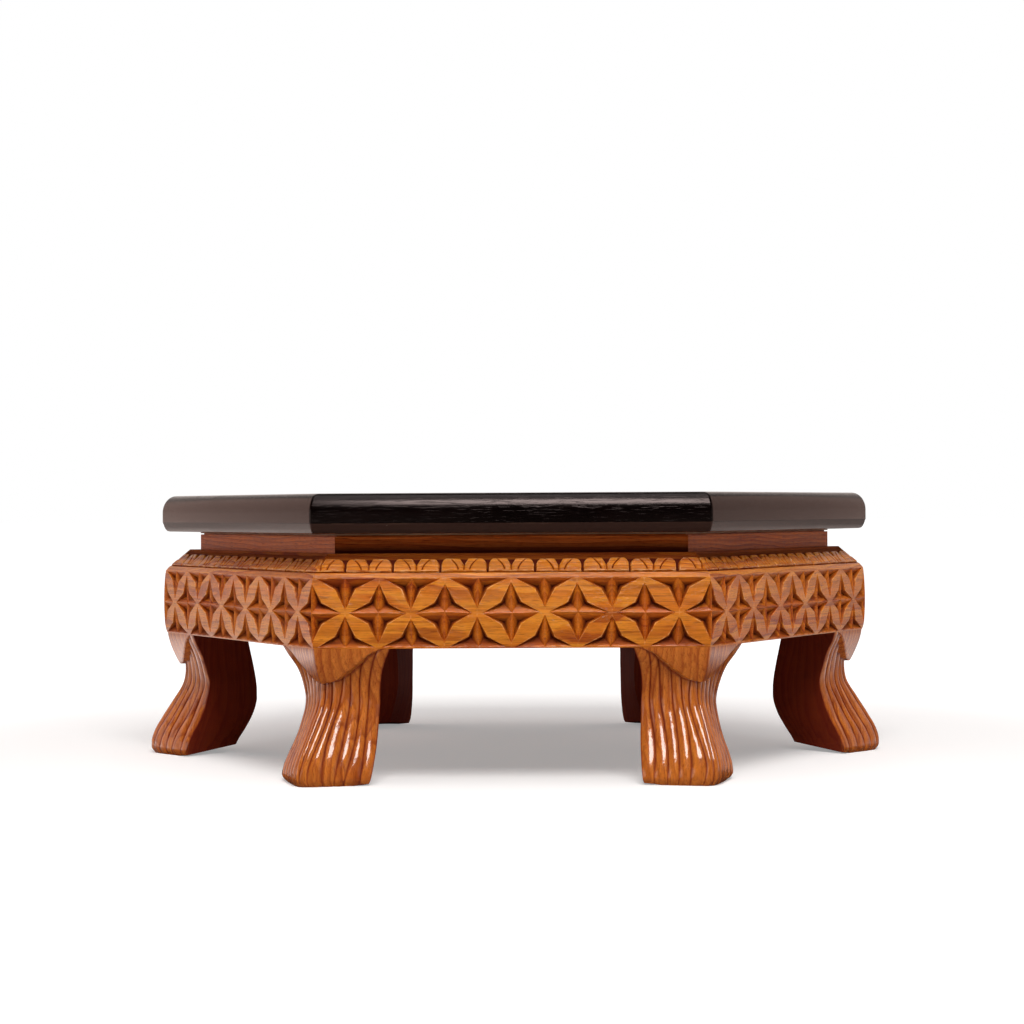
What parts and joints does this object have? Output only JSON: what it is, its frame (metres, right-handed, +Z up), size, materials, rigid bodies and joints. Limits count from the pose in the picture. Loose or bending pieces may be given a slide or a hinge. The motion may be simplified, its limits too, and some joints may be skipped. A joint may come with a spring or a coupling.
{
  "type": "low table",
  "caption": "Low hexagonal carved table with a black top, recessed neck, chip-carved apron, petal shoulder and reeded cabriole legs with pendant shields.",
  "frame": {"origin": "on the floor, under the middle of the table", "axes": "+Z up; +X to the table's right through two opposite corners; -Y square to the front facet"},
  "size_m": [0.5198, 0.4514, 0.1828],
  "materials": {
    "black_wood": "black stain under satin varnish, open grain",
    "plywood": "thin brown sheet, matte",
    "carved_teak": "carved teak, semi-gloss varnish",
    "plain_teak": "plain teak, matte varnish",
    "leg_teak": "carved teak, glossy varnish",
    "softwood": "bare planed softwood",
    "beech": "bare turned hardwood",
    "screw_steel": "zinc-plated"
  },
  "bodies": {
    "root": {"top_board_front": "black_wood", "top_board_middle": "black_wood", "top_board_rear": "black_wood", "backing_panel": "plywood", "apron_front": "carved_teak", "apron_front_right": "carved_teak", "apron_rear_right": "carved_teak", "apron_rear": "carved_teak", "apron_rear_left": "carved_teak", "apron_front_left": "carved_teak", "neck_board_front": "plain_teak", "neck_board_front_right": "plain_teak", "neck_board_rear_right": "plain_teak", "neck_board_rear": "plain_teak", "neck_board_rear_left": "plain_teak", "neck_board_front_left": "plain_teak", "leg_right": "leg_teak", "leg_rear_right": "leg_teak", "leg_rear_left": "leg_teak", "leg_left": "leg_teak", "leg_front_left": "leg_teak", "leg_front_right": "leg_teak", "corner_block_right": "softwood", "corner_block_rear_right": "softwood", "corner_block_rear_left": "softwood", "corner_block_left": "softwood", "corner_block_front_left": "softwood", "corner_block_front_right": "softwood", "leg_screw_right": "screw_steel", "leg_screw_rear_right": "screw_steel", "leg_screw_rear_left": "screw_steel", "leg_screw_left": "screw_steel", "leg_screw_front_left": "screw_steel", "leg_screw_front_right": "screw_steel", "dowel_right_a": "beech", "dowel_right_b": "beech", "dowel_rear_right_a": "beech", "dowel_rear_right_b": "beech", "dowel_rear_left_a": "beech", "dowel_rear_left_b": "beech", "dowel_left_a": "beech", "dowel_left_b": "beech", "dowel_front_left_a": "beech", "dowel_front_left_b": "beech", "dowel_front_right_a": "beech", "dowel_front_right_b": "beech", "top_cleat_front": "softwood", "top_cleat_rear_right": "softwood", "top_cleat_rear_left": "softwood", "top_screw_front_a": "screw_steel", "top_screw_front_b": "screw_steel", "top_screw_rear_right_a": "screw_steel", "top_screw_rear_right_b": "screw_steel", "top_screw_rear_left_a": "screw_steel", "top_screw_rear_left_b": "screw_steel"}
  },
  "joints": []
}
